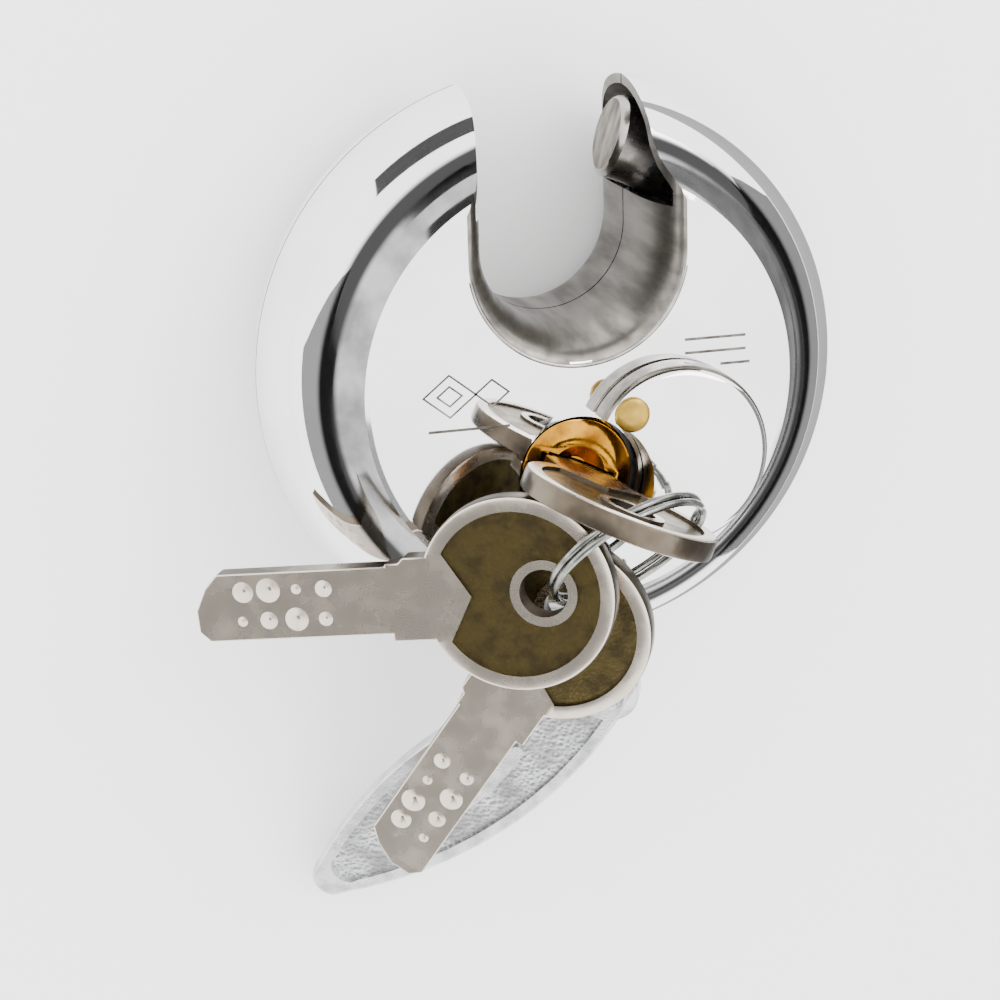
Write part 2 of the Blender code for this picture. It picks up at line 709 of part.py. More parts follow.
def keys():
    """The key in the plug, with its blade down the keyway, and the two loose keys."""
    across = slot_frame(SLOT_ANGLE)[1]
    lie(key_blank("inserted_key"), (PLUG_X, PLUG_Y, KEY_IN_BOW_Z), (0, 0, -1), across)
    lie(dimpled(key_blank("loose_key_a"), KEY_A_DIMPLES), KEY_A_BOW, KEY_A_DIR, KEY_A_UP)
    lie(dimpled(key_blank("loose_key_b"), KEY_B_DIMPLES), KEY_B_BOW, KEY_B_DIR, KEY_B_UP)


def wire_loop(name, half_length, half_width, steps):
    """Two close coils of flat wire as one closed loop: a ring, or an oval where it is longer than wide."""
    sections = []
    for start, first in ((half_length - half_width, -90), (half_width - half_length, 90)):
        for k in range(steps + 1):
            a = math.radians(first + 180 * k / steps)
            if half_length == half_width and k == steps:
                continue
            section = []
            for j in range(8):
                b = 2 * math.pi * j / 8
                r = half_width + WIRE_HALF_DEPTH * math.cos(b)
                section.append((start + r * math.cos(a), r * math.sin(a), WIRE_HALF_WIDTH * math.sin(b)))
            sections.append(section)
    return loft(name, sections, "spring_steel", closed=True)


def tag_outline(inset=0.0):
    """The pointed oval of the tag, two arcs from its hole end, as (x, y) points."""
    half = TAG_W / 2
    radius = (TAG_LENGTH ** 2 / 4 + half ** 2) / (2 * half)
    drop = radius - half
    spread = math.degrees(math.acos(drop / (radius - inset))) - 3
    upper = arc((TAG_LENGTH / 2, -drop), radius - inset, 90 + spread, 90 - spread, 14)
    return upper + [(x, -y) for x, y in reversed(upper)]


def tag():
    """The cast tag: a pointed oval with a raised rim and a hole near one end."""
    half = TAG_T / 2
    plate = prism("key_tag", tag_outline(), -half, half, "cast_tag")
    cut(plate, prism("recess", tag_outline(TAG_RIM), half - TAG_RECESS, half + 1))
    join(plate, rod("boss", TAG_BOSS_R, -half + 0.2, half, centre=(TAG_HOLE_AT, 0), sides=24))
    cut(plate, rod("hole", TAG_HOLE_R, -half - 1, half + 1, centre=(TAG_HOLE_AT, 0), sides=20))
    return lie(plate, TAG_END, TAG_DIR, TAG_UP)


def build():
    """Every piece of the lock and its keys."""
    for obj in list(bpy.data.objects):
        bpy.data.objects.remove(obj)
    front_shell()
    shell("rear_shell", REAR_H, -1)
    shackle_guide()
    shackle()
    shackle_carrier()
    shackle_dowel()
    carrier_pivot()
    stop_pin()
    plug()
    plug_clip()
    drive_gear()
    housing()
    housing_fasteners()
    pin_stack()
    spring_cover()
    washers()
    keyhole_cover()
    cover_rivet()
    keys()
    lie(wire_loop("key_ring", RING_R, RING_R, 18), RING_CENTRE, RING_DIR, RING_AXIS)
    lie(wire_loop("tag_link", LINK_HALF_LENGTH, LINK_HALF_WIDTH, 9), LINK_CENTRE, LINK_DIR, LINK_AXIS)
    tag()


build()
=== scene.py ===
"""Looks of an open disc padlock with its key in, two loose keys, a split ring, a link and a cast tag.

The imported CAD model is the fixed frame. Each sub-assembly below is a class that builds its fine meshes
in place of the plain CAD ones, dresses them and rides them on the CAD bodies.
"""

import logging
import math
from dataclasses import dataclass, field
from enum import Enum

import bmesh
import bpy
from mathutils import Matrix, Vector

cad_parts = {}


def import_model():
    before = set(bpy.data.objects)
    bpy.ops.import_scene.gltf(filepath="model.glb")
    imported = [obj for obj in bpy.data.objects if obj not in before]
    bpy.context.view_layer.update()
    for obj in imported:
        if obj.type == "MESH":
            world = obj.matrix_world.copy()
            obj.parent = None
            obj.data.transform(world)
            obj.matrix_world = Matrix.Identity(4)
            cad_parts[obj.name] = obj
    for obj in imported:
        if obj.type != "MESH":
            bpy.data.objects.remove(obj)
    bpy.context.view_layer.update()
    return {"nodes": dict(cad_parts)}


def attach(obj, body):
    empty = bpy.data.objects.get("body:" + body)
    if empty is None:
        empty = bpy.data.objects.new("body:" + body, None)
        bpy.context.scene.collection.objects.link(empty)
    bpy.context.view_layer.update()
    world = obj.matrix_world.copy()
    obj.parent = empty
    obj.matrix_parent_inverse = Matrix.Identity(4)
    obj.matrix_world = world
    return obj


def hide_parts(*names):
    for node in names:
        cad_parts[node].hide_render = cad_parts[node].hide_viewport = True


LOG = logging.getLogger("padlock")
MM = 0.001
Point = tuple[float, float, float]
Flat = tuple[float, float]
Colour = tuple[float, float, float]


# ---------------------------------------------------------------- finishes


class Grain(Enum):
    """The surface textures that the metals have."""

    POLISHED = "polished"
    BRUSHED = "brushed"
    STIPPLED = "stippled"
    CAST = "cast"


@dataclass(frozen=True)
class Effect:
    """A node group that several finishes share: broad patches as a Mask and a fine texture as a Height.

    Args:
        name: the group's name.
        patches: the mask's scale as a share of the group's Scale.
        texture: the height's scale as a share of the group's Scale.
        detail: the noise's detail.
        span: the noise values at which the mask starts and is full.
        pitted: whether the height comes from round cells and not from noise.
    """

    name: str
    patches: float
    texture: float
    detail: float
    span: Flat
    pitted: bool = False

    def tree(self) -> bpy.types.NodeTree:
        """Find the node group, or build it the first time.

        Returns:
            The group, with a Vector and a Scale in, and a Mask and a Height out.
        """
        found = bpy.data.node_groups.get(self.name)
        if found:
            return found
        tree = bpy.data.node_groups.new(self.name, "ShaderNodeTree")
        for title, way, kind in (("Vector", "INPUT", "Vector"), ("Scale", "INPUT", "Float"),
                                 ("Mask", "OUTPUT", "Float"), ("Height", "OUTPUT", "Float")):
            tree.interface.new_socket(title, in_out=way, socket_type=f"NodeSocket{kind}")
        nodes, links = tree.nodes, tree.links
        start, end = nodes.new("NodeGroupInput"), nodes.new("NodeGroupOutput")
        broad = nodes.new("ShaderNodeTexNoise")
        broad.inputs["Detail"].default_value = self.detail
        fine = nodes.new("ShaderNodeTexVoronoi" if self.pitted else "ShaderNodeTexNoise")
        if self.pitted:
            fine.feature = "SMOOTH_F1"
        else:
            fine.inputs["Detail"].default_value = self.detail
        for texture, share in ((broad, self.patches), (fine, self.texture)):
            times = nodes.new("ShaderNodeMath")
            times.operation = "MULTIPLY"
            times.inputs[1].default_value = share
            links.new(start.outputs["Vector"], texture.inputs["Vector"])
            links.new(start.outputs["Scale"], times.inputs[0])
            links.new(times.outputs[0], texture.inputs["Scale"])
        spread = nodes.new("ShaderNodeMapRange")
        spread.inputs["From Min"].default_value, spread.inputs["From Max"].default_value = self.span
        links.new(broad.outputs["Fac"], spread.inputs["Value"])
        links.new(spread.outputs["Result"], end.inputs["Mask"])
        links.new(fine.outputs["Distance" if self.pitted else "Fac"], end.inputs["Height"])
        return tree


EFFECTS = {
    Grain.POLISHED: Effect("handling", 1.0, 9.0, 3.0, (0.42, 0.70)),
    Grain.BRUSHED: Effect("brushing", 1.0, 3.0, 6.0, (0.35, 0.65)),
    Grain.STIPPLED: Effect("stippling", 0.12, 1.0, 4.0, (0.38, 0.62), True),
    Grain.CAST: Effect("casting", 0.12, 1.0, 4.0, (0.38, 0.62), True),
}


@dataclass(frozen=True)
class Metal:
    """One metal finish.

    Args:
        name: the material's name.
        light: the clean colour.
        worn: the colour of the darker patches.
        rough: roughness at its smoothest and at its roughest.
        grain: the surface texture.
        scale: the texture's scale, in cells to a metre.
        stretch: how the texture is stretched along x, y and z.
        depth: the bump's distance in metres.
        strength: the bump's strength.
    """

    name: str
    light: Colour
    worn: Colour
    rough: tuple[float, float]
    grain: Grain = Grain.POLISHED
    scale: float = 300.0
    stretch: Point = (1.0, 1.0, 1.0)
    depth: float = 0.00002
    strength: float = 0.2

    def make(self) -> bpy.types.Material:
        """Build the material once and find it again afterwards.

        Returns:
            The material.
        """
        title = f"finish_{self.name}"
        found = bpy.data.materials.get(title)
        if found:
            return found
        material = bpy.data.materials.new(title)
        material.use_nodes = True
        nodes, links = material.node_tree.nodes, material.node_tree.links
        shader = nodes["Principled BSDF"]
        shader.inputs["Metallic"].default_value = 1.0
        place = nodes.new("ShaderNodeTexCoord")
        mapping = nodes.new("ShaderNodeMapping")
        mapping.inputs["Scale"].default_value = self.stretch
        effect = nodes.new("ShaderNodeGroup")
        effect.node_tree = EFFECTS[self.grain].tree()
        effect.inputs["Scale"].default_value = self.scale
        mix = nodes.new("ShaderNodeMix")
        mix.data_type = "RGBA"
        mix.inputs["A"].default_value = (*self.light, 1.0)
        mix.inputs["B"].default_value = (*self.worn, 1.0)
        rough = nodes.new("ShaderNodeMapRange")
        rough.inputs["To Min"].default_value = self.rough[0]
        rough.inputs["To Max"].default_value = self.rough[1]
        bump = nodes.new("ShaderNodeBump")
        bump.inputs["Strength"].default_value = self.strength
        bump.inputs["Distance"].default_value = self.depth
        links.new(place.outputs["Object"], mapping.inputs["Vector"])
        links.new(mapping.outputs["Vector"], effect.inputs["Vector"])
        links.new(effect.outputs["Mask"], mix.inputs["Factor"])
        links.new(effect.outputs["Mask"], rough.inputs["Value"])
        links.new(effect.outputs["Height"], bump.inputs["Height"])
        links.new(mix.outputs["Result"], shader.inputs["Base Color"])
        links.new(rough.outputs["Result"], shader.inputs["Roughness"])
        links.new(bump.outputs["Normal"], shader.inputs["Normal"])
        self.add_painted_shade(nodes, links, mix, shader)
        return material

    def add_painted_shade(self, nodes: bpy.types.Nodes, links: bpy.types.NodeLinks, mix: bpy.types.Node,
             shader: bpy.types.Node) -> None:
        """Leave the colour as it is; finishes with painted shade override this."""


@dataclass(frozen=True)
class CaseSteel(Metal):
    """Mirror steel with a ring of painted shade in the crease between the rim and the front plate, near-black colour
    where the crease falls into shade.

    Args:
        crease: the crease's radius in metres.
        width: how far the painted shade reaches either side, in metres.
        dark: the painted shade's colour at the bottom of the crease.
    """

    crease: float = 0.0289
    width: float = 0.0012
    # painted shade: the near-black colour painted at the bottom of the crease
    dark: Colour = (0.03, 0.03, 0.03)

    def add_painted_shade(self, nodes: bpy.types.Nodes, links: bpy.types.NodeLinks, mix: bpy.types.Node,
             shader: bpy.types.Node) -> None:
        """Paint a ring of shade into the colour about the Z axis: painted shade in the crease.

        Args:
            nodes: the material's nodes.
            links: the material's links.
            mix: the node that holds the colour so far.
            shader: the Principled node.
        """
        place = nodes.new("ShaderNodeTexCoord")
        flat = nodes.new("ShaderNodeVectorMath")
        flat.operation = "MULTIPLY"
        flat.inputs[1].default_value = (1.0, 1.0, 0.0)
        radius = nodes.new("ShaderNodeVectorMath")
        radius.operation = "LENGTH"
        away = nodes.new("ShaderNodeMath")
        away.operation = "SUBTRACT"
        away.inputs[1].default_value = self.crease
        size = nodes.new("ShaderNodeMath")
        size.operation = "ABSOLUTE"
        fall = nodes.new("ShaderNodeMapRange")
        fall.interpolation_type = "SMOOTHSTEP"
        fall.inputs["From Min"].default_value = self.width * 0.45
        fall.inputs["From Max"].default_value = self.width
        fall.inputs["To Min"].default_value = 1.0
        fall.inputs["To Max"].default_value = 0.0
        # painted shade: mixes the near-black crease colour into the base colour
        darker = nodes.new("ShaderNodeMix")
        darker.data_type = "RGBA"
        darker.inputs["B"].default_value = (*self.dark, 1.0)
        links.new(place.outputs["Object"], flat.inputs[0])
        links.new(flat.outputs["Vector"], radius.inputs[0])
        links.new(radius.outputs["Value"], away.inputs[0])
        links.new(away.outputs[0], size.inputs[0])
        links.new(size.outputs[0], fall.inputs["Value"])
        links.new(fall.outputs["Result"], darker.inputs["Factor"])
        links.new(mix.outputs["Result"], darker.inputs["A"])
        links.new(darker.outputs["Result"], shader.inputs["Base Color"])


class Finishes:
    """Every finish of the padlock and its keys."""

    # CASE and SHOULDER both carry CaseSteel's ring of painted shade at the crease
    CASE = CaseSteel("case_steel", (0.86, 0.86, 0.87), (0.78, 0.78, 0.79), (0.03, 0.07), scale=90.0,
                     depth=0.000004, strength=0.05)
    SHOULDER = CaseSteel("shoulder_steel", (0.34, 0.34, 0.34), (0.16, 0.16, 0.16), (0.08, 0.20), Grain.BRUSHED,
                         160.0, depth=0.00001, strength=0.15)
    THROAT = Metal("throat_satin", (0.25, 0.235, 0.21), (0.12, 0.11, 0.10), (0.30, 0.42), Grain.BRUSHED, 420.0,
                   (1.0, 1.0, 0.16), 0.00002, 0.25)
    EDGE = Metal("bright_edge", (0.42, 0.40, 0.37), (0.26, 0.25, 0.23), (0.16, 0.28), Grain.BRUSHED, 500.0)
    COVER = Metal("cover_steel", (0.88, 0.88, 0.88), (0.82, 0.82, 0.81), (0.03, 0.06), scale=110.0,
                  depth=0.000003, strength=0.04)
    COVER_EDGE = Metal("cover_edge", (0.24, 0.22, 0.19), (0.13, 0.12, 0.10), (0.16, 0.26), Grain.BRUSHED, 600.0)
    ROD = Metal("shackle_steel", (0.28, 0.27, 0.25), (0.15, 0.14, 0.13), (0.20, 0.34), Grain.BRUSHED, 380.0)
    ROD_END = Metal("cut_end", (0.30, 0.27, 0.23), (0.10, 0.09, 0.07), (0.34, 0.50), Grain.BRUSHED, 700.0,
                    (1.0, 0.2, 1.0), 0.00005, 0.5)
    BRASS = Metal("brass", (0.52, 0.24, 0.02), (0.17, 0.065, 0.005), (0.05, 0.16), scale=260.0)
    PALE_BRASS = Metal("pale_brass", (0.42, 0.27, 0.05), (0.26, 0.16, 0.03), (0.24, 0.36), Grain.BRUSHED, 500.0)
    NICKEL = Metal("key_nickel", (0.60, 0.535, 0.455), (0.54, 0.475, 0.40), (0.22, 0.34), scale=320.0,
                   depth=0.00001, strength=0.12)
    NICKEL_EDGE = Metal("key_edge", (0.15, 0.125, 0.095), (0.06, 0.047, 0.034), (0.22, 0.42), Grain.STIPPLED, 900.0,
                        (1.0, 1.0, 1.0), 0.00006, 0.35)
    OLIVE = Metal("bow_ground", (0.15, 0.115, 0.045), (0.06, 0.046, 0.022), (0.28, 0.42), Grain.STIPPLED, 3200.0,
                  (1.0, 1.0, 1.0), 0.00005, 0.7)
    WIRE = Metal("spring_wire", (0.32, 0.33, 0.31), (0.14, 0.14, 0.13), (0.20, 0.32), Grain.BRUSHED, 500.0)
    TAG_RIM = Metal("tag_rim", (0.62, 0.62, 0.63), (0.44, 0.44, 0.45), (0.16, 0.28), scale=420.0,
                    depth=0.00003, strength=0.25)
    TAG_GROUND = Metal("tag_ground", (0.52, 0.525, 0.53), (0.27, 0.27, 0.275), (0.30, 0.46), Grain.CAST, 2100.0,
                       (1.0, 1.0, 1.0), 0.00012, 0.9)
    ZINC = Metal("zinc_plate", (0.58, 0.60, 0.62), (0.42, 0.44, 0.47), (0.32, 0.50), Grain.CAST, 900.0)
    HARD = Metal("hard_steel", (0.32, 0.32, 0.34), (0.20, 0.20, 0.22), (0.30, 0.46), Grain.BRUSHED, 500.0)
    MARK = Metal("engraved_line", (0.16, 0.15, 0.14), (0.08, 0.07, 0.06), (0.40, 0.60), Grain.BRUSHED, 900.0)

    BY_NODE = {
        "shackle_guide": ZINC, "spring_cover": ZINC, "housing_post_1": ZINC, "housing_post_2": ZINC,
        "cylinder_housing": BRASS, "drive_gear": BRASS, "plug_clip": WIRE,
    }

    @classmethod
    def for_node(cls, node: str) -> Metal:
        """The finish of a CAD node that keeps its own mesh.

        Args:
            node: the node's name.

        Returns:
            The finish.
        """
        if node.startswith("key_pin"):
            return cls.BRASS
        if node.startswith("pin_spring"):
            return cls.WIRE
        return cls.BY_NODE.get(node, cls.HARD)


# ---------------------------------------------------------------- modelling


class Bench:
    """The modelling moves that the sub-assemblies share. Sizes are in millimetres, meshes in metres."""

    @staticmethod
    def clear() -> None:
        """Leave edit mode and deselect everything."""
        if bpy.context.object and bpy.context.object.mode != "OBJECT":
            bpy.ops.object.mode_set(mode="OBJECT")
        bpy.ops.object.select_all(action="DESELECT")

    @classmethod
    def only(cls, obj: bpy.types.Object) -> None:
        """Select one object and make it active."""
        cls.clear()
        obj.select_set(True)
        bpy.context.view_layer.objects.active = obj

    @classmethod
    def outline(cls, name: str, points: list[Point], filled: bool) -> bpy.types.Object:
        """Start a piece as a circle whose vertices are then put on a closed outline.

        Args:
            name: the piece's name.
            points: the outline, in millimetres.
            filled: whether the outline holds a face.

        Returns:
            The piece, active and in object mode.
        """
        cls.clear()
        fill = "NGON" if filled else "NOTHING"
        bpy.ops.mesh.primitive_circle_add(vertices=len(points), radius=MM, fill_type=fill)
        piece = bpy.context.object
        piece.name = name
        piece.data.name = name
        for vertex, point in zip(piece.data.vertices, points):
            vertex.co = Vector(point) * MM
        return piece

    @classmethod
    def tidy(cls, piece: bpy.types.Object, angle: float = 30.0) -> bpy.types.Object:
        """Merge doubles, turn the normals out and shade smooth by angle.

        Args:
            piece: the piece.
            angle: edges sharper than this many degrees stay sharp.

        Returns:
            The same piece.
        """
        cls.only(piece)
        bpy.ops.object.mode_set(mode="EDIT")
        bpy.ops.mesh.select_all(action="SELECT")
        bpy.ops.mesh.remove_doubles(threshold=2e-7)
        bpy.ops.mesh.delete_loose(use_verts=True, use_edges=True, use_faces=False)
        bpy.ops.mesh.select_all(action="SELECT")
        bpy.ops.mesh.normals_make_consistent(inside=False)
        bpy.ops.object.mode_set(mode="OBJECT")
        bpy.ops.object.shade_smooth_by_angle(angle=math.radians(angle))
        return piece

    @classmethod
    def lathe(cls, name: str, profile: list[Flat], centre: Flat = (0.0, 0.0), steps: int = 96) -> bpy.types.Object:
        """Spin a closed half section about a vertical axis.

        Args:
            name: the piece's name.
            profile: the section as (radius, z) points.
            centre: where the axis stands.
            steps: how many steps make the full turn.

        Returns:
            The piece.
        """
        points = [(centre[0] + radius, centre[1], z) for radius, z in profile]
        piece = cls.outline(name, points, False)
        bpy.ops.object.mode_set(mode="EDIT")
        bpy.ops.mesh.select_all(action="SELECT")
        bpy.ops.mesh.spin(steps=steps, angle=2 * math.pi, center=(centre[0] * MM, centre[1] * MM, 0.0),
                          axis=(0.0, 0.0, 1.0))
        bpy.ops.object.mode_set(mode="OBJECT")
        return cls.tidy(piece)

    @classmethod
    def loft(cls, name: str, rings: list[list[Point]]) -> bpy.types.Object:
        """Extrude a filled outline through further outlines of as many points.

        Args:
            name: the piece's name.
            rings: the outlines in order.

        Returns:
            The piece.
        """
        piece = cls.outline(name, rings[0], True)
        bpy.ops.object.mode_set(mode="EDIT")
        bpy.ops.mesh.select_all(action="SELECT")
        for before, after in zip(rings, rings[1:]):
            bpy.ops.mesh.extrude_region_move()
            shape = bmesh.from_edit_mesh(piece.data)
            for vertex in [v for v in shape.verts if v.select]:
                gaps = [(vertex.co - Vector(point) * MM).length_squared for point in before]
                vertex.co = Vector(after[gaps.index(min(gaps))]) * MM
            bmesh.update_edit_mesh(piece.data)
        bpy.ops.object.mode_set(mode="OBJECT")
        return cls.tidy(piece)

    @classmethod
    def plate(cls, name: str, outline: list[Flat], low: float, high: float) -> bpy.types.Object:
        """A flat outline raised from one height to another."""
        return cls.loft(name, [[(x, y, z) for x, y in outline] for z in (low, high)])

    @classmethod
    def rod(cls, name: str, radius: float, low: float, high: float, centre: Flat = (0.0, 0.0),
            steps: int = 64) -> bpy.types.Object:
        """A plain round bar, mostly used as a cutter."""
        return cls.lathe(name, [(0.0, low), (radius, low), (radius, high), (0.0, high)], centre, steps)

    @classmethod
    def combine(cls, piece: bpy.types.Object, tool: bpy.types.Object, how: str = "DIFFERENCE") -> bpy.types.Object:
        """Cut a tool from a piece, or join it on, and remove the tool.

        Args:
            piece: the piece that stays.
            tool: the piece that is used up.
            how: the Boolean's operation.

        Returns:
            The piece.
        """
        cls.only(piece)
        modifier = piece.modifiers.new("joint", "BOOLEAN")
        modifier.operation = how
        modifier.solver = "EXACT"
        modifier.object = tool
        bpy.ops.object.modifier_apply(modifier=modifier.name)
        bpy.data.objects.remove(tool)
        return piece

    @classmethod
    def soften(cls, piece: bpy.types.Object, width: float, angle: float = 40.0, segments: int = 2) -> bpy.types.Object:
        """Round the sharp edges.

        Args:
            piece: the piece.
            width: the bevel's width in millimetres.
            angle: the least angle in degrees that counts as sharp.
            segments: the bevel's segments.

        Returns:
            The piece.
        """
        cls.only(piece)
        modifier = piece.modifiers.new("soft edge", "BEVEL")
        modifier.width = width * MM
        modifier.segments = segments
        modifier.limit_method = "ANGLE"
        modifier.angle_limit = math.radians(angle)
        modifier.use_clamp_overlap = True
        bpy.ops.object.modifier_apply(modifier=modifier.name)
        return cls.tidy(piece, 35.0)

    @classmethod
    def wire(cls, name: str, points: list[Point], radius: float, closed: bool = False) -> bpy.types.Object:
        """A round wire along a path, made a mesh.

        Args:
            name: the piece's name.
            points: the path in millimetres.
            radius: the wire's radius.
            closed: whether the path joins its own start.

        Returns:
            The piece.
        """
        cls.clear()
        curve = bpy.data.curves.new(name, "CURVE")
        curve.dimensions = "3D"
        curve.bevel_depth = radius * MM
        curve.bevel_resolution = 4
        curve.use_fill_caps = not closed
        spline = curve.splines.new("POLY")
        spline.points.add(len(points) - 1)
        spline.use_cyclic_u = closed
        for spot, point in zip(spline.points, points):
            spot.co = (*(Vector(point) * MM), 1.0)
        piece = bpy.data.objects.new(name, curve)
        bpy.context.scene.collection.objects.link(piece)
        cls.only(piece)
        bpy.ops.object.convert(target="MESH")
        return cls.tidy(bpy.context.object, 60.0)

    @staticmethod
    def arc(centre: Flat, radius: float, first: float, last: float, steps: int) -> list[Flat]:
        """Points on a circle, angles in degrees."""
        turns = [math.radians(first + (last - first) * k / steps) for k in range(steps + 1)]
        return [(centre[0] + radius * math.cos(a), centre[1] + radius * math.sin(a)) for a in turns]

    @staticmethod
    def smooth(points: list[Flat], steps: int) -> list[Flat]:
        """A smooth run of points through the given ones.

        Args:
            points: the points to pass through.
            steps: how many points replace each stretch.

        Returns:
            The denser run.
        """
        run = []
        last = len(points) - 1
        for k in range(last):
            four = [points[max(k - 1, 0)], points[k], points[k + 1], points[min(k + 2, last)]]
            for step in range(steps):
                t = step / steps
                weights = (-t + 2 * t * t - t ** 3, 2 - 5 * t * t + 3 * t ** 3, t + 4 * t * t - 3 * t ** 3,
                           t ** 3 - t * t)
                run.append(tuple(0.5 * sum(w * p[axis] for w, p in zip(weights, four)) for axis in (0, 1)))
        run.append(points[-1])
        return run


class Dresser:
    """Gives pieces their finishes and body, and hides the CAD nodes they replace."""

    @staticmethod
    def finish(piece: bpy.types.Object, *metals: Metal) -> bpy.types.Object:
        """Put finishes in a piece's material slots, the first one on every face."""
        piece.data.materials.clear()
        for metal in metals:
            piece.data.materials.append(metal.make())
        for face in piece.data.polygons:
            face.material_index = 0
        return piece

    @staticmethod
    def assign(piece: bpy.types.Object, body: str, slot: str, *nodes: str) -> bpy.types.Object:
        """Ride a piece on a body and hide the CAD nodes it replaces.

        Args:
            piece: the piece.
            body: the CAD body it moves with.
            slot: not used.
            nodes: the CAD nodes it replaces.

        Returns:
            The piece.
        """
        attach(piece, body)
        if nodes:
            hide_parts(*nodes)
        LOG.info("%s rides on %s with %d faces", piece.name, body, len(piece.data.polygons))
        return piece


# ---------------------------------------------------------------- case


@dataclass
class Case:
    """The two polished shells, the throat's bright lip and the marks on the front plate.

    Args:
        radius: the case's radius.
        seam: the height of the seam between the shells.
        front: the front shell's depth.
        rear: the rear shell's depth.
        wall: the sheet's thickness.
        throat: the throat's radius.
        throat_y: the throat's centre.
        flare: how far the throat opens towards each plate.
        straight: how much of the throat's wall is straight.
        wall_end: where the throat's wall gives way to the open horns.
        plug: the key plug's axis.
        keyhole: the radius of the hole over the plug.
        rivet: the cover rivet's axis.
        rivet_hole: the radius of the rivet's hole.
        shoulder: the radii between which the front shell is brushed.
        inlay_depth: how deep the device's lines go.
        inlay_proud: how far they stand above the plate.
        line: the width of the lozenges' lines.
    """

    radius: float = 35.0
    seam: float = 13.0
    front: float = 15.0
    rear: float = 13.0
    wall: float = 1.1
    throat: float = 10.0
    throat_y: float = 16.3
    flare: float = 2.95
    straight: float = 5.0
    wall_end: float = 20.0
    plug: Flat = (-0.5, -10.5)
    keyhole: float = 7.2
    rivet: Flat = (4.5, -2.4)
    rivet_hole: float = 1.5
    shoulder: Flat = (25.2, 28.9)
    inlay_depth: float = 0.2
    inlay_proud: float = 0.015
    line: float = 0.28

    def section(self, height: float) -> list[Flat]:
        """The half section above the seam, from the rim to the plate.

        Args:
            height: the shell's depth.

        Returns:
            Points as (radius, height above the seam).
        """
        r = self.radius
        crest = 10.5
        rise = height - crest
        rim = [(r, 0.0), (r - 0.4, 3.2), (r - 1.6, 6.6), (r - 3.7, 9.2), (r - 6.2, crest)]
        slope = [(27.5, crest + 0.3 * rise), (26.2, crest + 0.75 * rise), (25.4, height - 0.2), (24.6, height)]
        return Bench.smooth(rim, 6)[:-1] + Bench.smooth(slope[:3], 5)[:-1] + Bench.smooth(slope[2:], 3)

    def inner(self, section: list[Flat]) -> list[Flat]:
        """The same section moved in by the wall's thickness."""
        moved = []
        for k, (r, h) in enumerate(section):
            before, after = section[max(k - 1, 0)], section[min(k + 1, len(section) - 1)]
            run, rise = after[0] - before[0], after[1] - before[1]
            length = math.hypot(run, rise)
            moved.append((r - self.wall * rise / length, h + self.wall * run / length))
        kept = [(section[0][0] - self.wall, section[0][1])]
        for r, h in moved[1:-1]:
            if r < kept[-1][0] - 0.03 and h > kept[-1][1]:
                kept.append((r, h))
        return kept + [(kept[-1][0] - 0.3, section[-1][1] - self.wall)]

    def solid(self, name: str, section: list[Flat], start: float, side: int) -> bpy.types.Object:
        """A full solid under a half section; side is 1 for the front and -1 for the rear."""
        points = [(0.0, self.seam + side * start), (section[0][0], self.seam + side * start)]
        points += [(r, self.seam + side * h) for r, h in section if h > start + 0.01]
        points.append((0.0, self.seam + side * section[-1][1]))
        return Bench.lathe(name, points, steps=144)

    def throat_levels(self, height: float) -> list[Flat]:
        """Heights above the seam and how far the throat has flared at each."""
        levels = [(-2.0, 0.0), (self.straight, 0.0)]
        for k in range(1, 13):
            a = math.radians(7.5 * k)
            rise = (height - self.straight) * math.sin(a)
            levels.append((self.straight + rise, self.flare * (1 - math.cos(a))))
        levels.append((height + 3.0, self.flare))
        return levels

    def throat_tool(self, name: str, grow: float, height: float, top: float, side: int) -> bpy.types.Object:
        """The throat's U as a cutter.

        Args:
            name: the cutter's name.
            grow: how much wider than the throat it is.
            height: the height at which the flare ends.
            top: how far it runs along +Y.
            side: 1 for the front and -1 for the rear.

        Returns:
            The cutter.
        """
        rings = []
        for h, flare in self.throat_levels(height):
            radius = self.throat + flare + grow
            centre = (0.0, self.throat_y - 0.25 * flare)
            outline = [(-radius, top)] + Bench.arc(centre, radius, 180, 360, 60) + [(radius, top)]
            rings.append([(x, y, self.seam + side * h) for x, y in outline])
        return Bench.loft(name, rings)

    def in_throat(self, point: Vector, normal: Vector, height: float, side: int) -> bool:
        """Whether a face with this middle, in millimetres, and normal belongs to the throat's own wall."""
        h = (point.z - self.seam) * side
        if h > height - 0.02:
            return False
        part = min(max((h - self.straight) / (height - self.straight), 0.0), 1.0)
        flare = self.flare * (1 - math.sqrt(1 - part * part))
        centre_y = self.throat_y - 0.25 * flare
        across = Vector((point.x, min(point.y - centre_y, 0.0)))
        return across.length - (self.throat + flare) < 0.35 and across.dot(normal.xy) < -0.02 * across.length

    def shell(self, name: str, height: float, side: int) -> bpy.types.Object:
        """One hollow shell with its throat wall; paint later gives it its polished outside and satin throat."""
        section = self.section(height)
        body = self.solid(name, section, 0.15, side)
        hollow = self.solid("hollow", self.inner(section), -1.0, side)
        Bench.combine(hollow, self.throat_tool("wall_tool", self.wall, height - self.wall, self.wall_end, side))
        Bench.combine(body, self.throat_tool("throat_tool", 0.0, height, self.radius + 8, side))
        Bench.combine(body, hollow)
        return body

    def paint(self, body: bpy.types.Object, height: float, side: int) -> None:
        """Give the throat's wall and the shell's inside the satin finish."""
        Dresser.finish(body, Finishes.CASE, Finishes.THROAT, Finishes.SHOULDER)
        for face in body.data.polygons:
            middle = face.center / MM
            reach = middle.xy.length
            outward = face.normal.xy.dot(middle.xy) / max(reach, 0.1)
            if self.in_throat(middle, face.normal, height, side) or outward < -0.4:
                face.material_index = 1
            elif self.shoulder[0] < reach < self.shoulder[1] and outward > 0.3:
                face.material_index = 2

